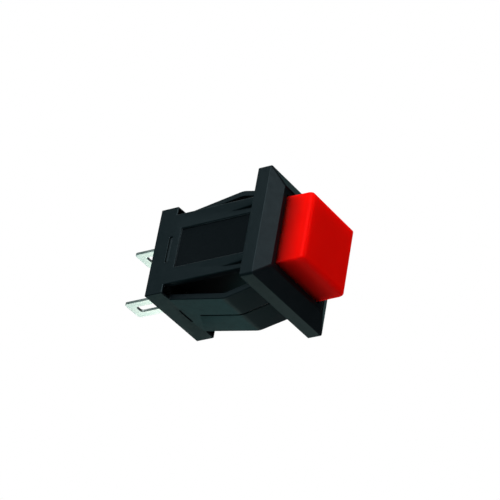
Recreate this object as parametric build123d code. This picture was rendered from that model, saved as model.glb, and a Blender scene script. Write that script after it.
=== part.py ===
from build123d import *
import math
import os

# Latching push button switch that snaps into a square hole in a panel.
# Millimetres. Z is the push axis, pointing out of the panel. The origin is the centre of the
# face of the bezel that seats on the panel, so all that lies behind the panel is below Z = 0.
# The walls across X are the two plain side plates, and the snap wings stand off the Y walls.

# ---- button cap ----
cap_side = 9.2            # across the cap at its rear edge
cap_taper = 0.04          # draft of each side over the cap's height
cap_proud = 3.6           # front of the cap above the bezel's lip, button out
cap_tuck = 0.55           # rear edge of the cap below the lip, button out
cap_wall = 0.9
cap_roof = 1.2
cap_edge_radius = 0.6     # round between the front and the sides
cap_corner_radius = 0.2
boss_length = 1.6         # socket boss under the roof
boss_radius = 2.6
spigot_side = 3.0         # square end of the plunger, held in the boss
spigot_end_gap = 0.1

# ---- travel ----
press_travel = 2.8
latch_return = 1.0        # how far the button springs back from full travel to its latch
stop_gap = 0.05           # plunger to the web that stops it, button out

# ---- bezel ----
bezel_side = 15.0
bezel_edge = 1.8          # straight outer edge
bezel_rise = 1.05         # height of the four slopes above the straight edge
bezel_corner_radius = 0.3
land_breadth = 0.85       # flat land between the cap and the lip
land_depth = 0.1          # land below the lip
lip_rim = 0.15

# ---- body behind the panel ----
cap_gap = 0.15            # cap to its guide
plate_wall = 0.8          # side plates
plate_breadth = 9.9       # side plates across Y
well_wall = 0.6
web_gap = 0.1             # cap at full travel to the web
web_thickness = 0.8
stem_gap = 0.07           # plunger stem to the hole in the web
tube_inside = 6.6         # plunger chamber across Y
tube_wall = 0.8
tube_end_gap = 0.35       # tube's end to the contact strips
ring_length = 2.5         # square ring round the terminal base
ring_wall = 0.8
block_gap = 0.15          # ring to the panel's hole
label_length = 9.9
label_breadth = 5.4
label_depth = 0.25
label_offset = 1.7        # end of the label recess behind the seat

# ---- centring ribs on the side plates ----
rib_height = 0.6
rib_gap = 0.1             # rib to the panel's hole
rib_width = 0.8
rib_length = 4.6
rib_offset = 3.85         # rib centre from the side plate's middle

# ---- snap wings ----
wing_breadth = 7.8
wing_thickness = 0.8
wing_reach = 7.55         # crease from the push axis
wing_crease = 4.6         # crease behind the seat
wing_crease_radius = 2.5
wing_end_gap = 0.5        # free end behind the seat
wing_end_reach = 6.65     # free end from the push axis
wing_groove_width = 0.2
wing_groove_depth = 0.2
wing_groove_start = 1.9   # plain root of the wing, before its groove
root_groove_breadth = 2.6
root_groove_width = 0.22
root_groove_depth = 0.25
root_groove_offset = 0.2  # groove behind the ring's front face

# ---- sunk corners in the ring's front face, beside the wing roots ----
corner_wall = 0.3         # ring left outside a sunk corner
corner_depth = 1.4

# ---- plunger ----
slide_gap = 0.1           # plunger to the chamber walls
stem_radius = 2.5
block_corner_radius = 0.25
cam_head = 0.8            # block above the heart track
cam_foot = 1.5            # block below the heart track
relief_wall = 1.0         # walls left round the relief opposite the cam
relief_depth = 2.6
carrier_width = 3.8       # contact carrier across X
carrier_breadth = 2.2     # and across Y
carrier_roof = 0.4
sill_height = 0.7
sill_gap = 0.02

# ---- heart track and latch pin ----
wire_radius = 0.25
wire_bend = 0.45
track_gap = 0.08          # wire to each side of the track
track_depth = 0.7
track_step = 0.06         # each leg of the track starts this much deeper than the last
tip_depth = 0.55          # pin's tip inside the track
tip_swing = 1.6           # sideways travel of the tip
leg_gap = 0.1             # pin's leg to the cam face
pivot_rise = 0.6          # pivot above the base
pivot_gap = 0.04          # wire to its pivot hole
pivot_depth = 1.0
pivot_hole_extra = 0.15   # hole beyond the wire's end
pivot_boss_margin = 0.6
pivot_boss_breadth = 1.8

# ---- leaf spring that holds the pin in the track ----
leaf_thickness = 0.15
leaf_breadth = 1.4
leaf_play = 0.03          # leaf to the pin
leaf_head = 0.8           # leaf beyond the pin's tip
leaf_foot = 0.6

# ---- contacts ----
contact_gap = 1.0
contact_radius = 0.75
contact_height = 0.35
shank_radius = 0.4
shank_gap = 0.02
contact_offset = 2.1      # contact centres from the push axis
bridge_width = 2.4
bridge_overhang = 0.85    # bridge beyond the contact centres
bridge_thickness = 0.3
bridge_side_gap = 0.1
contact_spring_block = 0.95   # contact spring's length at full travel

# ---- springs ----
return_wire = 0.5
return_gap = 0.2          # return spring to the stem
return_turns = 4.5
contact_wire = 0.25
contact_spring_radius = 0.75
contact_turns = 3.0
spring_seat_gap = 0.02
wire_sides = 6

# ---- terminals ----
strip_thickness = 0.35
lug_width = 3.2
lug_length = 6.5          # beyond the base
lug_offset = 3.55         # lug centre from the push axis
lug_corner = 0.25
lug_slot_width = 1.2
lug_slot_margin = 1.1     # slot from the lug's tip
lug_slot_root = 0.9       # slot from the base
lug_slot_corner = 0.3
pad_width = 2.4
pad_inner = 0.8           # pad beyond the contact centre
strip_bend = 0.25
lug_fit = 0.02

# ---- terminal base ----
base_gap = 0.05
sill_clearance = 0.15     # carrier at full travel to the floor of its pocket
carrier_side_gap = 0.15
hook_breadth = 3.4
hook_height = 0.35
hook_gap = 0.06
hook_inset = 0.1          # hook's face below the side plate's face
hook_offset = 0.06        # hook's top below the base's front face

# ---- sizes across the push axis ----
guide_half = cap_side / 2 + cap_gap
body_half = guide_half + plate_wall
cutout_half = body_half + rib_height + rib_gap
bezel_half = bezel_side / 2
land_half = cap_side / 2 + land_breadth
lip_half = land_half + lip_rim
ring_half = cutout_half - block_gap
ring_inside = ring_half - ring_wall
tube_half = tube_inside / 2
leg_x = guide_half - leaf_thickness - leaf_play - wire_radius
cam_face_x = leg_x - wire_radius - leg_gap
boss_face_x = cam_face_x
bridge_half = contact_offset + bridge_overhang
window_half = bridge_width / 2 + bridge_side_gap
pad_start = contact_offset - pad_inner

# ---- levels along the push axis ----
lip_z = bezel_edge + bezel_rise
land_z = lip_z - land_depth
cap_front_z = lip_z + cap_proud
cap_rear_z = lip_z - cap_tuck
cap_roof_z = cap_front_z - cap_roof
stem_top_z = cap_roof_z - boss_length
web_top_z = cap_rear_z - press_travel - web_gap
web_bottom_z = web_top_z - web_thickness
track_half = wire_radius + track_gap
block_top_z = web_bottom_z - stop_gap
tip_z = block_top_z - cam_head - track_half - press_travel
block_bottom_z = tip_z - track_half - cam_foot
window_top_z = block_bottom_z - carrier_roof
contact_spring_length = press_travel - contact_gap + contact_spring_block
bridge_top_z = window_top_z - contact_spring_length
bridge_z = bridge_top_z - bridge_thickness
moving_face_z = bridge_z - contact_height
fixed_face_z = moving_face_z - contact_gap
pad_top_z = fixed_face_z - contact_height
base_front_z = pad_top_z - strip_thickness
base_rear_z = base_front_z - ring_length
lug_tip_z = base_rear_z - lug_length
tube_end_z = pad_top_z + tube_end_gap
sill_bottom_z = bridge_z - sill_gap - sill_height
pocket_z = sill_bottom_z - press_travel - sill_clearance
pivot_z = base_front_z + pivot_rise
pin_lever = tip_z - pivot_z
pin_angle = math.asin(tip_swing / pin_lever)
latch_depth = press_travel - latch_return


def block(x_range, y_range, z_range):
    """Box between two X, two Y and two Z values."""
    size = [high - low for low, high in (x_range, y_range, z_range)]
    centre = [(high + low) / 2 for low, high in (x_range, y_range, z_range)]
    return Pos(*centre) * Box(*size)


def centred_block(x_half, y_half, z_low, z_high):
    return block((-x_half, x_half), (-y_half, y_half), (z_low, z_high))


def coil(mean_radius, wire_diameter, turns, z_low, z_high):
    """Open coil spring between two seats, its wire drawn with flat sides and just inside both."""
    height = z_high - z_low - wire_diameter - 2 * spring_seat_gap
    path = Helix(pitch=height / turns, height=height, radius=mean_radius)
    section = Plane(origin=path @ 0, z_dir=path % 0) * RegularPolygon(wire_diameter / 2, wire_sides)
    wound = sweep(section, path=path, is_frenet=True)
    return Pos(0, 0, z_low + wire_diameter / 2 + spring_seat_gap) * wound


# ---------------------------------------------------------------- housing
def bezel():
    """Square frame with a straight edge, four slopes up to a lip."""
    outline = RectangleRounded(bezel_side, bezel_side, bezel_corner_radius)
    lip = RectangleRounded(2 * lip_half, 2 * lip_half, bezel_corner_radius)
    plate = extrude(outline, bezel_edge)
    slopes = loft([Pos(0, 0, bezel_edge) * outline, Pos(0, 0, lip_z) * lip], ruled=True)
    return plate + slopes


def wing_line(inset):
    """Side view of a wing's surface, this far below its outer face: root, crease, free end."""
    points = [
        (ring_half - inset, base_front_z),
        (wing_reach - inset, -wing_crease),
        (wing_end_reach - inset, -wing_end_gap),
    ]
    return FilletPolyline(*points, radius=wing_crease_radius)


def wing_solid(breadth, inset_from, inset_to):
    """Part of the +Y wing between two depths below its outer face."""
    outer = wing_line(inset_from)
    inner = wing_line(inset_to)
    ends = [Line(outer @ 0, inner @ 0), Line(outer @ 1, inner @ 1)]
    side_view = make_face([*outer.edges(), *inner.edges(), *ends])
    return extrude(Plane.YZ * side_view, breadth / 2, both=True)


def snap_wing():
    """Springy wing rooted on the rear ring, with a crease that grips the panel's far edge."""
    wing = wing_solid(wing_breadth, 0, wing_thickness)
    groove = wing_solid(wing_groove_width, -wing_groove_depth, wing_groove_depth)
    plain_root = centred_block(
        wing_groove_width, bezel_half, base_front_z, base_front_z + wing_groove_start
    )
    return wing - (groove - plain_root)


def centring_rib():
    """Ramp on the +X side plate that rises towards the bezel and centres the body."""
    ramp = Polygon(
        (body_half, -rib_length), (body_half + rib_height, 0), (body_half, 0), align=None
    )
    return extrude(Plane.XZ * ramp, rib_width / 2, both=True)


def sunk_corners():
    """Four corners sunk beside the wing roots, in the ring and the terminal base alike."""
    across = (wing_breadth / 2, body_half - corner_wall)
    along = (plate_breadth / 2, ring_half - corner_wall)
    corners = Part()
    for x_side in (1, -1):
        for y_side in (1, -1):
            corners += block(
                sorted(x_side * x for x in across),
                sorted(y_side * y for y in along),
                (base_front_z - corner_depth, base_front_z),
            )
    return corners


def make_housing():
    """One moulding: bezel, well, side plates, plunger tube, rear ring, ribs and snap wings."""
    well_half = guide_half + well_wall
    side_plates = centred_block(body_half, plate_breadth / 2, base_front_z, 0)
    well = centred_block(body_half, well_half, web_bottom_z, 0)
    ring = centred_block(body_half, ring_half, base_rear_z, base_front_z)
    body = bezel() + side_plates + well + ring

    # room for the cap, the mechanism, the terminal base, and outside the tube's Y walls
    body -= centred_block(land_half, land_half, land_z, lip_z)
    body -= centred_block(guide_half, guide_half, web_top_z, land_z)
    body -= Pos(0, 0, web_top_z) * Cylinder(stem_radius + stem_gap, 3 * web_thickness)
    body -= centred_block(guide_half, tube_half, tube_end_z, web_bottom_z)
    body -= centred_block(guide_half, plate_breadth, base_front_z, tube_end_z)
    body -= centred_block(guide_half, ring_inside, base_rear_z, base_front_z)
    for side in (1, -1):
        outside = sorted((side * (tube_half + tube_wall), side * plate_breadth))
        body -= block((-guide_half, guide_half), outside, (base_front_z, web_bottom_z))

    body -= sunk_corners()
    for plane in (None, Plane.XZ):
        wing = snap_wing()
        body += wing if plane is None else mirror(wing, about=plane)
    for side in (0, 180):
        for offset in (rib_offset, -rib_offset):
            body += Rot(0, 0, side) * Pos(0, offset, 0) * centring_rib()

    # windows for the base's hooks, grooves at the wing roots, and the sunk label field
    hook_top = base_front_z - hook_offset
    body -= centred_block(
        2 * body_half, hook_breadth / 2 + hook_gap, hook_top - hook_height - hook_gap, hook_top + hook_gap
    )
    groove_top = base_front_z - root_groove_offset
    for side in (1, -1):
        body -= block(
            (-root_groove_breadth / 2, root_groove_breadth / 2),
            sorted((side * (ring_half - root_groove_depth), side * bezel_half)),
            (groove_top - root_groove_width, groove_top),
        )
    body -= block(
        (-body_half, -body_half + label_depth),
        (-label_breadth / 2, label_breadth / 2),
        (-label_offset - label_length, -label_offset),
    )
    return body


# ---------------------------------------------------------------- button and plunger
def make_button_cap():
    """Hollow square cap with drafted sides, rounded front edges and a socket boss inside."""
    height = cap_front_z - cap_rear_z
    draft = math.degrees(math.atan(cap_taper / height))
    outline = RectangleRounded(cap_side, cap_side, cap_corner_radius)
    shell = Pos(0, 0, cap_rear_z) * extrude(outline, height, taper=draft)
    shell = fillet(shell.faces().sort_by(Axis.Z)[-1].edges(), cap_edge_radius)
    inside_half = cap_side / 2 - cap_wall
    shell -= centred_block(inside_half, inside_half, cap_rear_z, cap_roof_z)
    boss = Pos(0, 0, (stem_top_z + cap_roof_z) / 2) * Cylinder(boss_radius, boss_length)
    socket = centred_block(spigot_side / 2, spigot_side / 2, stem_top_z, cap_roof_z)
    return shell + (boss - socket)


def track_points():
    """Where the pin's tip stands on the plunger: out, full travel, latched, and its return."""
    top = press_travel - pin_lever * (1 - math.cos(pin_angle))
    return [(0, 0), (tip_swing, top), (0, latch_depth), (-tip_swing, top)]


def heart_track():
    """Four legs of the track, each cut deeper than the last, which leave the heart standing."""
    cam_plane = Plane(origin=(-cam_face_x, 0, tip_z), x_dir=(0, 1, 0), z_dir=(1, 0, 0))
    corners = track_points()
    legs = Part()
    for number, start in enumerate(corners):
        end = corners[(number + 1) % len(corners)]
        run = Vector(end[0] - start[0], end[1] - start[1])
        angle = math.degrees(math.atan2(run.Y, run.X))
        middle = Pos((start[0] + end[0]) / 2, (start[1] + end[1]) / 2)
        leg = middle * Rot(0, 0, angle) * SlotCenterToCenter(run.length, 2 * track_half)
        legs += extrude(cam_plane * leg, track_depth + number * track_step)
    return legs


def make_plunger():
    """Stem, guide block with the heart track in one face, and the fork that carries the bridge."""
    block_half_y = tube_half - slide_gap
    guide = block(
        (-cam_face_x, guide_half - slide_gap), (-block_half_y, block_half_y), (block_bottom_z, block_top_z)
    )
    guide = fillet(guide.edges().filter_by(Axis.Z), block_corner_radius)
    relief = block(
        (guide_half - relief_depth, guide_half),
        (-block_half_y + relief_wall, block_half_y - relief_wall),
        (block_bottom_z + relief_wall, block_top_z - relief_wall),
    )
    stem_length = stem_top_z - block_top_z
    stem = Pos(0, 0, block_top_z + stem_length / 2) * Cylinder(stem_radius, stem_length)
    spigot = centred_block(spigot_side / 2, spigot_side / 2, stem_top_z, cap_roof_z - spigot_end_gap)
    carrier = centred_block(carrier_width / 2, carrier_breadth / 2, sill_bottom_z, block_bottom_z)
    window = centred_block(window_half, carrier_breadth, sill_bottom_z + sill_height, window_top_z)
    return guide + stem + spigot + (carrier - window) - relief - heart_track()


def make_return_spring():
    """Coil round the stem, from the web to the underside of the cap's roof."""
    mean_radius = boss_radius + return_gap + return_wire / 2
    return coil(mean_radius, return_wire, return_turns, web_top_z, cap_roof_z)


# ---------------------------------------------------------------- latch
def make_latch_pin():
    """Bent wire: its foot pivots in the base and its tip rides in the heart track."""
    path = FilletPolyline(
        (-cam_face_x + tip_depth, 0, tip_z),
        (-leg_x, 0, tip_z),
        (-leg_x, 0, pivot_z),
        (-boss_face_x + pivot_depth, 0, pivot_z),
        radius=wire_bend,
    )
    return sweep(Plane(origin=path @ 0, z_dir=path % 0) * Circle(wire_radius), path=path)


def make_latch_leaf():
    """Flat spring strip behind the pin, with a foot on the base."""
    ends = (-leaf_breadth / 2, leaf_breadth / 2)
    back = (-guide_half, -guide_half + leaf_thickness)
    strip = block(back, ends, (base_front_z, tip_z + leaf_head))
    foot = block((-guide_half, -guide_half + leaf_foot), ends, (base_front_z, base_front_z + leaf_thickness))
    return strip + foot


# ---------------------------------------------------------------- contacts
def rivet(y, face_z, strip_z, facing):
    """Contact rivet: a flat head on the strip and a shank through the strip."""
    head = Pos(0, y, face_z - facing * contact_height / 2) * Cylinder(contact_radius, contact_height)
    shank = Pos(0, y, strip_z) * Cylinder(shank_radius, shank_length(facing))
    return head + shank


def shank_length(facing):
    return strip_thickness if facing > 0 else bridge_thickness


def make_fixed_contact(side):
    return rivet(side * contact_offset, fixed_face_z, pad_top_z - strip_thickness / 2, 1)


def make_bridge_contact(side):
    return rivet(side * contact_offset, moving_face_z, bridge_z + bridge_thickness / 2, -1)


def make_contact_bridge():
    """Flat strip that joins the two fixed contacts when the button is pressed."""
    outline = RectangleRounded(bridge_width, 2 * bridge_half, contact_radius / 2)
    plate = Pos(0, 0, bridge_z) * extrude(outline, bridge_thickness)
    for side in (1, -1):
        plate -= Pos(0, side * contact_offset, bridge_z) * Cylinder(
            shank_radius + shank_gap, 3 * bridge_thickness
        )
    return plate


def make_contact_spring():
    """Small coil inside the carrier's window, pressing the bridge on its sill."""
    return coil(contact_spring_radius, contact_wire, contact_turns, bridge_top_z, window_top_z)


def make_terminal(side):
    """Bent strip: a contact pad on the base, then a lug with a solder slot behind it."""
    outer = lug_offset + strip_thickness / 2
    inner = lug_offset - strip_thickness / 2
    pad = block((-pad_width / 2, pad_width / 2), (pad_start, outer), (base_front_z, pad_top_z))
    lug = Plane.XZ.offset(-outer) * Pos(0, (lug_tip_z + pad_top_z) / 2) * Rectangle(
        lug_width, pad_top_z - lug_tip_z
    )
    lug = chamfer(lug.vertices().group_by(Axis.Z)[0], lug_corner)
    slot_top = base_rear_z - lug_slot_root
    slot_bottom = lug_tip_z + lug_slot_margin
    slot = Plane.XZ.offset(-outer) * Pos(0, (slot_top + slot_bottom) / 2) * RectangleRounded(
        lug_slot_width, slot_top - slot_bottom, lug_slot_corner
    )
    strip = extrude(lug - slot, strip_thickness) + pad
    bend = strip.edges().filter_by(Axis.X).filter_by_position(Axis.Y, outer, outer).sort_by(Axis.Z)[-1]
    strip = fillet(bend, strip_bend)
    strip -= Pos(0, contact_offset, pad_top_z) * Cylinder(shank_radius + shank_gap, 3 * strip_thickness)
    return strip if side > 0 else mirror(strip, about=Plane.XZ)


def make_rear_base():
    """Plug that closes the ring: lug slots, carrier pocket, pin pivot and two hooks."""
    plug_x = guide_half - base_gap
    plug_y = ring_inside - base_gap
    plug = centred_block(plug_x, plug_y, base_rear_z, base_front_z)
    hook_face = body_half - hook_inset
    hook_top = base_front_z - hook_offset
    plug += centred_block(hook_face, hook_breadth / 2, hook_top - hook_height, hook_top)
    plug += block(
        (-boss_face_x, -boss_face_x + pivot_depth + pivot_hole_extra + wire_radius),
        (-pivot_boss_breadth / 2, pivot_boss_breadth / 2),
        (base_front_z, pivot_z + pivot_boss_margin),
    )
    pivot_reach = pivot_depth + pivot_hole_extra
    plug -= Pos(-boss_face_x + pivot_reach / 2, 0, pivot_z) * Rot(0, 90, 0) * Cylinder(
        wire_radius + pivot_gap, pivot_reach
    )
    plug -= centred_block(
        carrier_width / 2 + carrier_side_gap, carrier_breadth / 2 + carrier_side_gap, pocket_z, base_front_z
    )
    for side in (1, -1):
        near = side * (lug_offset - strip_thickness / 2 - lug_fit)
        far = side * (lug_offset + strip_thickness / 2 + lug_fit)
        slot_half = lug_width / 2 + lug_fit
        plug -= block((-slot_half, slot_half), sorted((near, far)), (base_rear_z, base_front_z))
    return plug - sunk_corners()


nodes = {
    "housing": make_housing(),
    "rear_base": make_rear_base(),
    "button_cap": make_button_cap(),
    "plunger": make_plunger(),
    "return_spring": make_return_spring(),
    "latch_pin": make_latch_pin(),
    "latch_leaf": make_latch_leaf(),
    "contact_bridge": make_contact_bridge(),
    "contact_spring": make_contact_spring(),
    "bridge_contact_upper": make_bridge_contact(1),
    "bridge_contact_lower": make_bridge_contact(-1),
    "fixed_contact_upper": make_fixed_contact(1),
    "fixed_contact_lower": make_fixed_contact(-1),
    "terminal_upper": make_terminal(1),
    "terminal_lower": make_terminal(-1),
}

os.makedirs("parts", exist_ok=True)
for name, shape in nodes.items():
    export_step(shape, f"parts/{name}.step")
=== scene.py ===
import bmesh
import bpy
import math
from mathutils import Matrix, Vector


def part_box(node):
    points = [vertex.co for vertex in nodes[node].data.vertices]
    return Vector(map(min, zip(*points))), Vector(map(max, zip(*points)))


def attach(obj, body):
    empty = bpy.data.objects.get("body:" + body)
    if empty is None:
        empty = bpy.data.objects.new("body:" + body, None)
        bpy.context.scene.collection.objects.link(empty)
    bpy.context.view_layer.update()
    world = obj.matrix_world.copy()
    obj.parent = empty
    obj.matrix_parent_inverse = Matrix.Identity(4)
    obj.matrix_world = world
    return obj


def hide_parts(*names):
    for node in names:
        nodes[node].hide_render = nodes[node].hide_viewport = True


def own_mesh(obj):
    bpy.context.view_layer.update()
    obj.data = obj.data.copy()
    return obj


# Latching push button switch. Sizes are in millimetres, and new pieces are scaled to metres
# when they are finished. Z is the push axis, and the panel's face is at Z = 0.

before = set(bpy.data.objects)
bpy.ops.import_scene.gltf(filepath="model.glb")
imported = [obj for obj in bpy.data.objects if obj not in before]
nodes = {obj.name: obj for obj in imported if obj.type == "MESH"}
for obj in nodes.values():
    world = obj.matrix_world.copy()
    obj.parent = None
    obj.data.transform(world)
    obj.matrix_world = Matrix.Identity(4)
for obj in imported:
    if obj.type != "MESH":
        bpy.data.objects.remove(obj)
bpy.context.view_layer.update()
mm = 0.001
print("frame loaded:", len(nodes), "nodes")


# Camera, light and floor

cameraSetup = {
    "aim": (0.345, 1.859, -5.438),
    "azimuth": -52.167,     # degrees round the push axis
    "elevation": 32.757,
    "roll": 77.617,         # the switch lies on its side in the frame
    "distance": 289.76,
    "lens": 174.71,
    "clip": (10, 20000),
}

studio = {
    "backdrop": (1.0, 1.0, 1.0),
    "surround": (0.037, 0.041, 0.044),    # what fills the shadows from above
    "floorGlow": (0.10, 0.20, 0.20),      # and from below
    "floorLevel": -260.0,                 # far enough down that no shadow edge shows
    "floorSide": 40000.0,
}

white = (1.0, 1.0, 1.0)
# name, direction from the switch, distance, side, watts, colour
softLights = [
    ("keyLight", (-0.91, 0.38, 0.13), 420, 430, 2.5, white),
    ("skyLight", (-0.10, 0.51, 0.85), 420, 200, 0.35, white),
    ("frontLight", (0.15, -0.62, 0.78), 420, 300, 0.49, white),
    ("lugLight", (0.665, -0.511, -0.545), 420, 80, 0.026, (0.94, 1.0, 0.88)),
    ("wingLight", (0.665, -0.29, -0.688), 300, 93, 0.010, (0.30, 1.0, 1.0)),    # must stay above the floor
    ("rightLight", (0.98, -0.10, -0.15), 420, 220, 0.82, white),
    ("sideLight", (0.0, -1.0, -0.03), 420, 300, 0.07, white),
    ("topLight", (-0.10, 0.98, -0.10), 420, 400, 0.9, white),
]


def lookAlong(back, roll):
    level = Vector((0, 0, 1)).cross(back).normalized()
    upright = back.cross(level)
    right = level * math.cos(roll) + upright * math.sin(roll)
    up = back.cross(right)
    return Matrix((right, up, back)).transposed().to_4x4()


def addCamera(setup):
    azimuth, elevation = math.radians(setup["azimuth"]), math.radians(setup["elevation"])
    back = Vector((
        math.sin(azimuth) * math.cos(elevation),
        -math.cos(azimuth) * math.cos(elevation),
        math.sin(elevation),
    ))
    data = bpy.data.cameras.new("switchCamera")
    data.lens = setup["lens"]
    data.clip_start, data.clip_end = [reach * mm for reach in setup["clip"]]
    camera = bpy.data.objects.new("switchCamera", data)
    place = (Vector(setup["aim"]) + back * setup["distance"]) * mm
    camera.matrix_world = Matrix.Translation(place) @ lookAlong(back, math.radians(setup["roll"]))
    bpy.context.collection.objects.link(camera)
    bpy.context.scene.camera = camera


def addSoftLight(name, direction, distance, side, watts, colour):
    data = bpy.data.lights.new(name, "AREA")
    data.shape, data.size, data.energy, data.color = "DISK", side * mm, watts, colour
    light = bpy.data.objects.new(name, data)
    back = Vector(direction).normalized()
    place = (Vector(cameraSetup["aim"]) + back * distance) * mm
    light.matrix_world = Matrix.Translation(place) @ lookAlong(back, 0)
    bpy.context.collection.objects.link(light)


# the camera sees one colour, and the switch is lit by the other
def splitByRay(tree, outputType, shaderType, seenColour, litColour):
    tree.nodes.clear()
    output = tree.nodes.new(outputType)
    mix = tree.nodes.new("ShaderNodeMixShader")
    rays = tree.nodes.new("ShaderNodeLightPath")
    tree.links.new(rays.outputs["Is Camera Ray"], mix.inputs["Fac"])
    for socket, colour in ((1, litColour), (2, seenColour)):
        shader = tree.nodes.new(shaderType)
        shader.inputs["Color"].default_value = (*colour, 1)
        tree.links.new(shader.outputs[0], mix.inputs[socket])
    tree.links.new(mix.outputs[0], output.inputs["Surface"])


def addWorld(setup):
    world = bpy.data.worlds.new("studio")
    world.use_nodes = True
    splitByRay(
        world.node_tree, "ShaderNodeOutputWorld", "ShaderNodeBackground",
        setup["backdrop"], setup["surround"],
    )
    bpy.context.scene.world = world


def addFloor(setup):
    bm = bmesh.new()
    bmesh.ops.create_grid(bm, x_segments=4, y_segments=4, size=setup["floorSide"] / 2 * mm)
    bmesh.ops.translate(bm, verts=bm.verts, vec=(0, 0, setup["floorLevel"] * mm))
    mesh = bpy.data.meshes.new("studioFloor")
    bm.to_mesh(mesh)
    bm.free()
    floor = bpy.data.objects.new("studioFloor", mesh)
    bpy.context.collection.objects.link(floor)
    material = bpy.data.materials.new("paleFloor")
    material.use_nodes = True
    splitByRay(
        material.node_tree, "ShaderNodeOutputMaterial", "ShaderNodeEmission",
        setup["backdrop"], setup["floorGlow"],
    )
    mesh.materials.append(material)


addCamera(cameraSetup)
for light in softLights:
    addSoftLight(*light)
addWorld(studio)
addFloor(studio)
bpy.context.scene.view_settings.view_transform = "Standard"   # keeps the red of the cap clean
print("camera, lights and floor set")


# Materials

noiseLow, noiseHigh = 0.3, 0.7      # most of a noise's values lie between these
noiseRoughness = 0.55
coolSheen = (0.6, 0.9, 1.0, 1)


class Finish:
    def __init__(self, name, **constants):
        self.material = bpy.data.materials.new(name)
        self.material.use_nodes = True
        self.tree = self.material.node_tree
        self.shader = self.tree.nodes["Principled BSDF"]
        for socket, value in constants.items():
            self.shader.inputs[socket.replace("_", " ")].default_value = value
        self.place = self.tree.nodes.new("ShaderNodeTexCoord").outputs["Object"]

    def noise(self, scale, detail, stretch=None):
        texture = self.tree.nodes.new("ShaderNodeTexNoise")
        texture.inputs["Scale"].default_value = scale
        texture.inputs["Detail"].default_value = detail
        texture.inputs["Roughness"].default_value = noiseRoughness
        source = self.place
        if stretch:
            mapping = self.tree.nodes.new("ShaderNodeMapping")
            mapping.inputs["Scale"].default_value = stretch
            self.tree.links.new(self.place, mapping.inputs["Vector"])
            source = mapping.outputs["Vector"]
        self.tree.links.new(source, texture.inputs["Vector"])
        return texture.outputs["Fac"]

    def ramp(self, factor, low, high):
        ramp = self.tree.nodes.new("ShaderNodeValToRGB")
        first, last = ramp.color_ramp.elements
        first.position, last.position = noiseLow, noiseHigh
        first.color, last.color = (*low, 1), (*high, 1)
        self.tree.links.new(factor, ramp.inputs["Fac"])
        return ramp.outputs["Color"]

    def between(self, factor, low, high):
        spread = self.tree.nodes.new("ShaderNodeMapRange")
        spread.inputs["From Min"].default_value = noiseLow
        spread.inputs["From Max"].default_value = noiseHigh
        spread.inputs["To Min"].default_value, spread.inputs["To Max"].default_value = low, high
        self.tree.links.new(factor, spread.inputs["Value"])
        return spread.outputs["Result"]

    def rise(self, low, high):
        split = self.tree.nodes.new("ShaderNodeSeparateXYZ")
        spread = self.tree.nodes.new("ShaderNodeMapRange")
        spread.inputs["From Min"].default_value = low * mm
        spread.inputs["From Max"].default_value = high * mm
        self.tree.links.new(self.place, split.inputs[0])
        self.tree.links.new(split.outputs["Z"], spread.inputs["Value"])
        return spread.outputs["Result"]

    def blend(self, factor, low, high):
        mix = self.tree.nodes.new("ShaderNodeMix")
        mix.data_type = "RGBA"
        # the colour sockets come after those for plain values and vectors
        self.tree.links.new(factor, mix.inputs[0])
        self.tree.links.new(low, mix.inputs[6])
        self.tree.links.new(high, mix.inputs[7])
        return mix.outputs[2]

    def drive(self, output, socket):
        self.tree.links.new(output, self.shader.inputs[socket])

    def bump(self, factor, depth, strength):
        bump = self.tree.nodes.new("ShaderNodeBump")
        bump.inputs["Distance"].default_value = depth * mm
        bump.inputs["Strength"].default_value = strength
        self.tree.links.new(factor, bump.inputs["Height"])
        previous = self.shader.inputs["Normal"].links
        if previous:
            self.tree.links.new(previous[0].from_socket, bump.inputs["Normal"])
        self.tree.links.new(bump.outputs["Normal"], self.shader.inputs["Normal"])


def mouldedBlack():
    finish = Finish("mouldedBlack", Specular_IOR_Level=0.19, Specular_Tint=coolSheen)
    cloud = finish.noise(scale=420, detail=4)
    finish.drive(finish.ramp(cloud, (0.0015, 0.0027, 0.0038), (0.0024, 0.0038, 0.0050)), "Base Color")
    finish.drive(finish.between(finish.noise(scale=1400, detail=3), 0.36, 0.42), "Roughness")
    finish.bump(finish.noise(scale=9000, detail=2), depth=0.006, strength=0.5)
    finish.bump(finish.noise(scale=700, detail=2), depth=0.02, strength=0.35)
    return finish.material


def sparkedBlack():
    finish = Finish("sparkedBlack", Specular_IOR_Level=0.07, Specular_Tint=coolSheen)
    cloud = finish.noise(scale=2600, detail=4)
    finish.drive(finish.ramp(cloud, (0.0008, 0.0014, 0.0021), (0.0014, 0.0022, 0.0030)), "Base Color")
    finish.drive(finish.between(finish.noise(scale=4000, detail=3), 0.68, 0.80), "Roughness")
    finish.bump(finish.noise(scale=7000, detail=3), depth=0.014, strength=0.6)
    return finish.material


def mouldedBase():
    finish = Finish("mouldedBase", Specular_IOR_Level=0.24, Specular_Tint=coolSheen)
    cloud = finish.noise(scale=900, detail=4)
    finish.drive(finish.ramp(cloud, (0.0026, 0.0040, 0.0050), (0.0038, 0.0054, 0.0066)), "Base Color")
    finish.drive(finish.between(finish.noise(scale=2500, detail=3), 0.5, 0.62), "Roughness")
    finish.bump(finish.noise(scale=8000, detail=2), depth=0.008, strength=0.5)
    return finish.material


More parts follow.
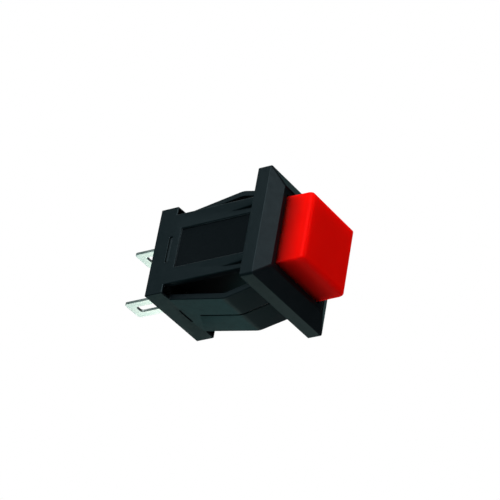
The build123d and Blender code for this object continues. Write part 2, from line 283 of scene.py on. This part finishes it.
def polishedRed():
    finish = Finish(
        "polishedRed", Metallic=0.04, Specular_IOR_Level=0.015, Subsurface_Weight=1.0,
        Subsurface_Scale=0.003, Subsurface_Radius=(1.0, 0.1, 0.04),
    )
    cloud = finish.noise(scale=260, detail=3)
    front = finish.ramp(cloud, (0.76, 0.0022, 0.0008), (0.80, 0.0030, 0.0011))
    # painted shade: this darker red stands in for the shade at the cap's foot
    paintedShadeRed = finish.ramp(cloud, (0.06, 0.0030, 0.0022), (0.08, 0.0036, 0.0026))
    unshadedShare = finish.rise(2.5, 5.4)
    finish.drive(finish.blend(unshadedShare, paintedShadeRed, front), "Base Color")     # painted shade: the red darkens towards its foot, where less light reaches
    finish.drive(finish.between(finish.noise(scale=160, detail=2), 0.40, 0.44), "Roughness")
    return finish.material


def naturalAcetal():
    finish = Finish("naturalAcetal", Subsurface_Weight=0.15, Subsurface_Scale=0.0008)
    cloud = finish.noise(scale=500, detail=3)
    finish.drive(finish.ramp(cloud, (0.66, 0.65, 0.60), (0.76, 0.75, 0.70)), "Base Color")
    finish.drive(finish.between(finish.noise(scale=1800, detail=2), 0.38, 0.48), "Roughness")
    finish.bump(finish.noise(scale=5000, detail=2), depth=0.005, strength=0.4)
    return finish.material


def rolledMetal(name, dark, light, rough, grain):
    finish = Finish(name, Metallic=1.0)
    finish.drive(finish.ramp(finish.noise(scale=700, detail=4), dark, light), "Base Color")
    finish.drive(finish.between(finish.noise(scale=2600, detail=3, stretch=grain), *rough), "Roughness")
    finish.bump(finish.noise(scale=1900, detail=2, stretch=grain), depth=0.002, strength=0.3)
    return finish.material


alongStrip = (1.0, 1.0, 0.08)
acrossStrip = (1.0, 0.08, 1.0)
noGrain = (1.0, 1.0, 1.0)

# name, darker and lighter colour, roughness from and to, grain
metals = {
    "spring_steel": ("drawnSpringSteel", (0.44, 0.44, 0.45), (0.60, 0.60, 0.61), (0.22, 0.36), alongStrip),
    "strip_brass": ("rolledBrass", (0.66, 0.47, 0.17), (0.80, 0.60, 0.26), (0.24, 0.38), acrossStrip),
    "contact_silver": ("silverFace", (0.80, 0.80, 0.77), (0.90, 0.90, 0.88), (0.18, 0.30), noGrain),
    "tinned_strip": ("tinnedStrip", (0.99, 0.94, 0.92), (1.0, 0.99, 0.98), (0.19, 0.24), alongStrip),
    "tinned_strip_cut": ("shearedEdge", (0.10, 0.13, 0.12), (0.24, 0.28, 0.27), (0.42, 0.60), acrossStrip),
}
finishes = {
    "black_moulding": mouldedBlack(),
    "black_moulding_field": sparkedBlack(),
    "base_moulding": mouldedBase(),
    "red_cap": polishedRed(),
    "plunger_moulding": naturalAcetal(),
}
for slot, metal in metals.items():
    finishes[slot] = rolledMetal(*metal)
for node in nodes.values():
    node.data.materials[0] = finishes[node.data.materials[0].name.split(".")[0]]
print("finishes:", len(finishes))


# Shared steps for the pieces

copyLimits = {"merge": 0.002, "flat": math.radians(0.3)}
hardEdge = math.radians(28)       # edges that turn less than this aren't softened


def finishPiece(bm, name, body, slot, replaced, sharp=38, scaled=False):
    if not scaled:
        bmesh.ops.scale(bm, verts=bm.verts, vec=(mm, mm, mm))
    mesh = bpy.data.meshes.new(name)
    bm.to_mesh(mesh)
    bm.free()
    mesh.materials.append(finishes[slot])
    mesh.shade_smooth()
    mesh.set_sharp_from_angle(angle=math.radians(sharp))
    piece = bpy.data.objects.new(name, mesh)
    bpy.context.collection.objects.link(piece)
    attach(piece, body)
    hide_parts(*replaced)
    return piece


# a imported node's mesh, which is in metres already
def weldedCopy(node):
    bm = bmesh.new()
    bm.from_mesh(nodes[node].data)
    bmesh.ops.remove_doubles(bm, verts=bm.verts, dist=copyLimits["merge"] * mm)
    bmesh.ops.dissolve_limit(bm, angle_limit=copyLimits["flat"], verts=bm.verts, edges=bm.edges)
    return bm


def fullShare(edge):
    return 1.0


def shareHardEdges(bm, shareOf=fullShare, sharpest=math.inf):
    weight = bm.edges.layers.float.new("bevel_weight_edge")
    for edge in bm.edges:
        if hardEdge < edge.calc_face_angle(0) < sharpest:
            edge[weight] = shareOf(edge)


def softenEdges(piece, width, segments, profile=0.5):
    bevel = piece.modifiers.new("softEdges", "BEVEL")
    bevel.limit_method = "WEIGHT"
    bevel.width, bevel.segments, bevel.profile = width * mm, segments, profile
    bevel.use_clamp_overlap = False
    bevel.harden_normals = True


# the width is a full share's, and the zones below say which edge gets which share
housingEdges = {
    "width": 0.12, "segments": 3,
    "rim": 0.45, "lip": 0.45, "recess": 1.1, "groove": 0.3, "body": 1.0,
    "weld": 0.011,          # closes the slivers where softened edges meet
}
housingZones = {
    "lipLevel": 2.4, "lipReach": 6.0,
    "recessX": -5.25, "recessHalf": 2.75, "recessRear": -12.0, "recessFront": -1.0,
    "rimReach": 7.3, "rimLevel": -0.1,
    "grooveHalf": 0.15,
    "ringLevel": -13.5, "slitHalf": 1.4, "slitReach": 6.3,
    "bodyReach": 4.9,
}
labelField = {"outer": -5.4, "inner": -5.2, "half": 2.6, "facing": -0.9}


def housingEdgeShare(edge):
    zones = housingZones
    ends = [v.co / mm for v in edge.verts]
    middle = (ends[0] + ends[1]) / 2
    z = middle.z
    near, far = sorted((abs(middle.x), abs(middle.y)))
    if z > zones["lipLevel"] and far < zones["lipReach"]:
        return housingEdges["lip"]
    inRecess = middle.x < zones["recessX"] and abs(middle.y) < zones["recessHalf"]
    if inRecess and zones["recessRear"] < z < zones["recessFront"]:
        return housingEdges["recess"]
    if far > zones["rimReach"] and z > zones["rimLevel"]:
        return housingEdges["rim"]
    inSlit = z < zones["ringLevel"] and near < zones["slitHalf"] and far < zones["slitReach"]
    if near < zones["grooveHalf"] or inSlit:
        return housingEdges["groove"]
    if far > zones["bodyReach"]:
        return housingEdges["body"]
    return 0.0


def isLabelField(face):
    middle = face.calc_center_median() / mm
    inDepth = labelField["outer"] < middle.x < labelField["inner"]
    return inDepth and abs(middle.y) < labelField["half"] and face.normal.x < labelField["facing"]


def makeHousing():
    bm = weldedCopy("housing")
    shareHardEdges(bm, housingEdgeShare)
    for face in bm.faces:
        face.material_index = int(isLabelField(face))
    piece = finishPiece(bm, "housing_shell", "switch_body", "black_moulding", ["housing"], scaled=True)
    piece.data.materials.append(finishes["black_moulding_field"])
    softenEdges(piece, housingEdges["width"], housingEdges["segments"])
    weld = piece.modifiers.new("closedSlivers", "WELD")
    weld.merge_threshold = housingEdges["weld"] * mm


makeHousing()
print("housing made")


capSizes = {
    "rearSide": 9.2, "frontSide": 9.12, "rear": 2.3, "front": 6.45, "wall": 0.9, "roof": 1.2,
    "frontRound": 0.75, "cornerRound": 0.22, "rearRound": 0.12, "roundSteps": 8,
    "squareness": 0.62,     # above a half, the rounds keep more of the corner
    "bossRadius": 2.6, "bossLength": 1.6, "bossCuts": 7, "socketSide": 3.0,
    "sharp": 50,
    "levelMargin": 0.01, "outerMargin": 0.1,      # for finding the front corners and the inner edges
}


def moveFace(bm, face, rise):
    moved = bmesh.ops.extrude_face_region(bm, geom=[face])["geom"]
    movedVerts = [g for g in moved if isinstance(g, bmesh.types.BMVert)]
    bmesh.ops.translate(bm, verts=movedVerts, vec=(0, 0, rise))
    bmesh.ops.delete(bm, geom=[face], context="FACES")
    return next(g for g in moved if isinstance(g, bmesh.types.BMFace))


# a round boss under the roof, with a square socket in it
def addSocketBoss(bm, roofFace, size):
    firstInset, secondInset = 0.4, 0.2      # only start the loops, which are then set to size
    bmesh.ops.subdivide_edges(bm, edges=list(roofFace.edges), cuts=size["bossCuts"])
    bmesh.ops.inset_region(bm, faces=[roofFace], thickness=firstInset)
    for vert in roofFace.verts:
        radius = math.hypot(vert.co.x, vert.co.y)
        vert.co.x *= size["bossRadius"] / radius
        vert.co.y *= size["bossRadius"] / radius
    bossEnd = moveFace(bm, roofFace, -size["bossLength"])
    bmesh.ops.inset_region(bm, faces=[bossEnd], thickness=secondInset)
    for vert in bossEnd.verts:
        reach = max(abs(vert.co.x), abs(vert.co.y))
        vert.co.x *= size["socketSide"] / 2 / reach
        vert.co.y *= size["socketSide"] / 2 / reach
    moveFace(bm, bossEnd, size["bossLength"])


def makeButtonCap():
    size = capSizes
    bm = bmesh.new()
    bmesh.ops.create_cube(bm, size=1)
    height = size["front"] - size["rear"]
    bmesh.ops.scale(bm, verts=bm.verts, vec=(size["rearSide"], size["rearSide"], height))
    bmesh.ops.translate(bm, verts=bm.verts, vec=(0, 0, size["rear"] + height / 2))
    frontVerts = [v for v in bm.verts if v.co.z > size["front"] - size["levelMargin"]]
    taper = size["frontSide"] / size["rearSide"]
    bmesh.ops.scale(bm, verts=frontVerts, vec=(taper, taper, 1))

    # how round each outer edge is, as a share of the widest one
    share = bm.edges.layers.float.new("bevel_weight_edge")
    rounds = (size["rearRound"], size["cornerRound"], size["frontRound"])
    for edge in bm.edges:
        frontEnds = sum(v in frontVerts for v in edge.verts)
        edge[share] = rounds[frontEnds] / size["frontRound"]

    # hollow from behind
    rearFace = min(bm.faces, key=lambda f: f.calc_center_median().z)
    bmesh.ops.inset_region(bm, faces=[rearFace], thickness=size["wall"], use_even_offset=True)
    roofFace = moveFace(bm, rearFace, size["front"] - size["roof"] - size["rear"])
    addSocketBoss(bm, roofFace, size)

    # no rounds inside
    outside = size["frontSide"] / 2 - size["outerMargin"]
    for edge in bm.edges:
        if all(max(abs(v.co.x), abs(v.co.y)) < outside for v in edge.verts):
            edge[share] = 0
    bmesh.ops.recalc_face_normals(bm, faces=bm.faces)
    piece = finishPiece(bm, "cap_shell", "button", "red_cap", ["button_cap"], sharp=size["sharp"])
    softenEdges(piece, size["frontRound"], size["roundSteps"], size["squareness"])


makeButtonCap()
print("button cap made")


# what faces neither along Y nor along Z is taken for the strip's sheared edge
lugEdges = {"width": 0.05, "segments": 2, "flatFacing": 0.7, "bentFacing": 0.99}


def makeLug(side):
    name = "terminal_" + side
    bm = weldedCopy(name)
    shareHardEdges(bm)
    for face in bm.faces:
        onFlat = abs(face.normal.y) >= lugEdges["flatFacing"]
        onBent = abs(face.normal.z) >= lugEdges["bentFacing"]
        face.material_index = int(not onFlat and not onBent)
    piece = finishPiece(bm, "lug_" + side, "switch_body", "tinned_strip", [name], scaled=True)
    piece.data.materials.append(finishes["tinned_strip_cut"])
    softenEdges(piece, lugEdges["width"], lugEdges["segments"])


for side in ("upper", "lower"):
    makeLug(side)
print("lugs made")


# node, body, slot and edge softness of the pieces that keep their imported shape
plainPieces = {
    "base_shell": ("rear_base", "switch_body", "base_moulding", 0.05),
    "plunger_shell": ("plunger", "button", "plunger_moulding", 0.10),
    "bridge_strip": ("contact_bridge", "bridge", "strip_brass", 0.04),
    "leaf_strip": ("latch_leaf", "switch_body", "spring_steel", 0.03),
}
plainEdges = {"segments": 2, "sharpest": math.radians(100)}


def makePlainPiece(name, node, body, slot, width):
    bm = weldedCopy(node)
    shareHardEdges(bm, sharpest=plainEdges["sharpest"])
    piece = finishPiece(bm, name, body, slot, [node], scaled=True)
    softenEdges(piece, width, plainEdges["segments"])


for name, facts in plainPieces.items():
    makePlainPiece(name, *facts)
print("inner mouldings and strips made")


springs = {
    "return": {
        "node": "return_spring", "body": "button", "anchorZ": 5.25, "keep": 0.521,
        "meanRadius": 3.05, "wire": 0.5, "closedTurns": 0.75, "activeTurns": 3.0,
    },
    "contact": {
        "node": "contact_spring", "body": "bridge", "anchorZ": -10.36, "keep": 0.338,
        "meanRadius": 0.75, "wire": 0.25, "closedTurns": 0.75, "activeTurns": 1.5,
    },
}
coilDetail = {
    "wireSides": 12, "stepsPerTurn": 48,
    "closedPitch": 1.06,    # in wires: the end coils lie on each other
}


def makeSpring(name, size):
    low, high = [corner[2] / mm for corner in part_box(size["node"])]
    wire, closed, active = size["wire"], size["closedTurns"], size["activeTurns"]
    closedRise = wire * coilDetail["closedPitch"] * closed
    activeRise = high - low - wire - 2 * closedRise
    bm = bmesh.new()
    bmesh.ops.create_circle(bm, radius=wire / 2, segments=coilDetail["wireSides"])
    bmesh.ops.rotate(bm, verts=bm.verts, matrix=Matrix.Rotation(math.radians(90), 3, "X"))
    bmesh.ops.translate(bm, verts=bm.verts, vec=(size["meanRadius"], 0, low + wire / 2))
    section = bm.verts[:] + bm.edges[:]
    for turns, rise in ((closed, closedRise), (active, activeRise), (closed, closedRise)):
        steps = round(turns * coilDetail["stepsPerTurn"])
        wound = bmesh.ops.spin(
            bm, geom=section, axis=(0, 0, 1), dvec=(0, 0, rise / steps),
            angle=math.tau * turns, steps=steps,
        )
        section = wound["geom_last"]
    bmesh.ops.holes_fill(bm, edges=bm.edges, sides=coilDetail["wireSides"])
    bmesh.ops.recalc_face_normals(bm, faces=bm.faces)
    piece = finishPiece(bm, name + "_coil", size["body"], "spring_steel", [size["node"]])
    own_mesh(piece)


for name, size in springs.items():
    makeSpring(name, size)
print("springs wound")
